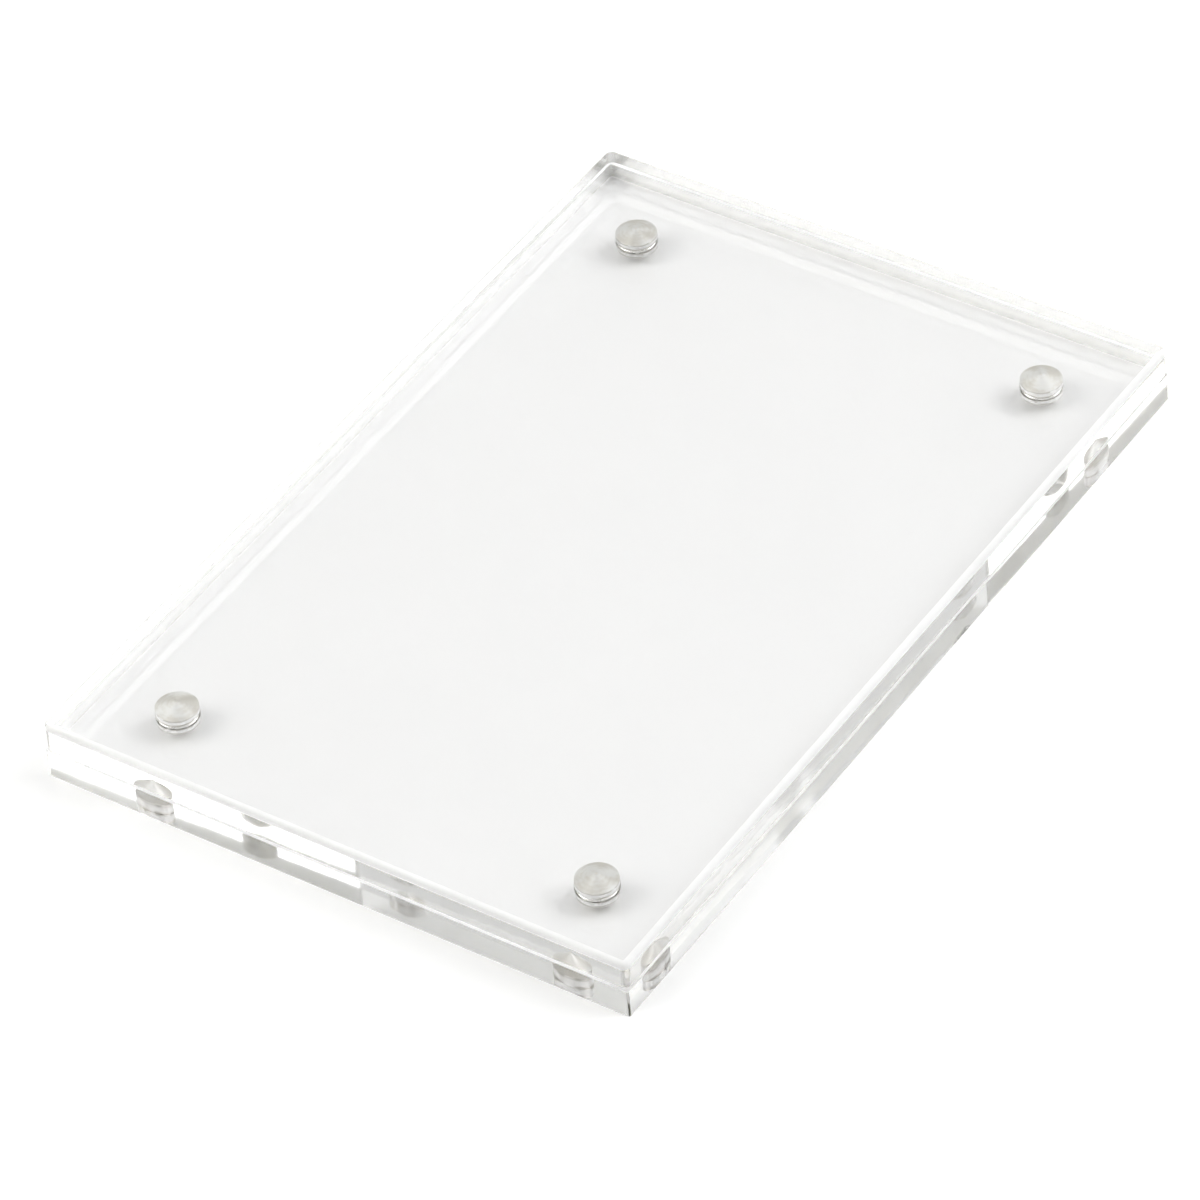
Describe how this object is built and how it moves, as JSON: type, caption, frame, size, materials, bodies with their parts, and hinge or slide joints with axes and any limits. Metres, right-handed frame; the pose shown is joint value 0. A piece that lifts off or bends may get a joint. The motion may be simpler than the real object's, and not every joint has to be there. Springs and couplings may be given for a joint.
{
  "type": "magnetic acrylic photo frame",
  "caption": "Clear block photo frame: two bevelled acrylic panels with disc magnets set in blind holes near the corners; the front panel lifts off the rear one.",
  "frame": {"origin": "centre of the rear panel's outer face, on which the frame lies", "axes": "+X along the short side to the right, +Y along the long side to the top, +Z out of the front panel"},
  "size_m": [0.1016, 0.1524, 0.0099],
  "materials": {
    "acrylic": "polished clear",
    "nickel_plating": "nickel plated",
    "adhesive": "clear cured"
  },
  "bodies": {
    "rear": {"rear_panel": "acrylic", "rear_magnet_bottom_left": "nickel_plating", "rear_magnet_bottom_right": "nickel_plating", "rear_magnet_top_left": "nickel_plating", "rear_magnet_top_right": "nickel_plating", "rear_adhesive_bottom_left": "adhesive", "rear_adhesive_bottom_right": "adhesive", "rear_adhesive_top_left": "adhesive", "rear_adhesive_top_right": "adhesive"},
    "front": {"front_panel": "acrylic", "front_magnet_bottom_left": "nickel_plating", "front_magnet_bottom_right": "nickel_plating", "front_magnet_top_left": "nickel_plating", "front_magnet_top_right": "nickel_plating", "front_adhesive_bottom_left": "adhesive", "front_adhesive_bottom_right": "adhesive", "front_adhesive_top_left": "adhesive", "front_adhesive_top_right": "adhesive"}
  },
  "joints": [
    {"name": "front_lift", "type": "slide", "parent": "rear", "child": "front", "axis": [0, 0, 1], "range_m": [0, 0.03]}
  ]
}
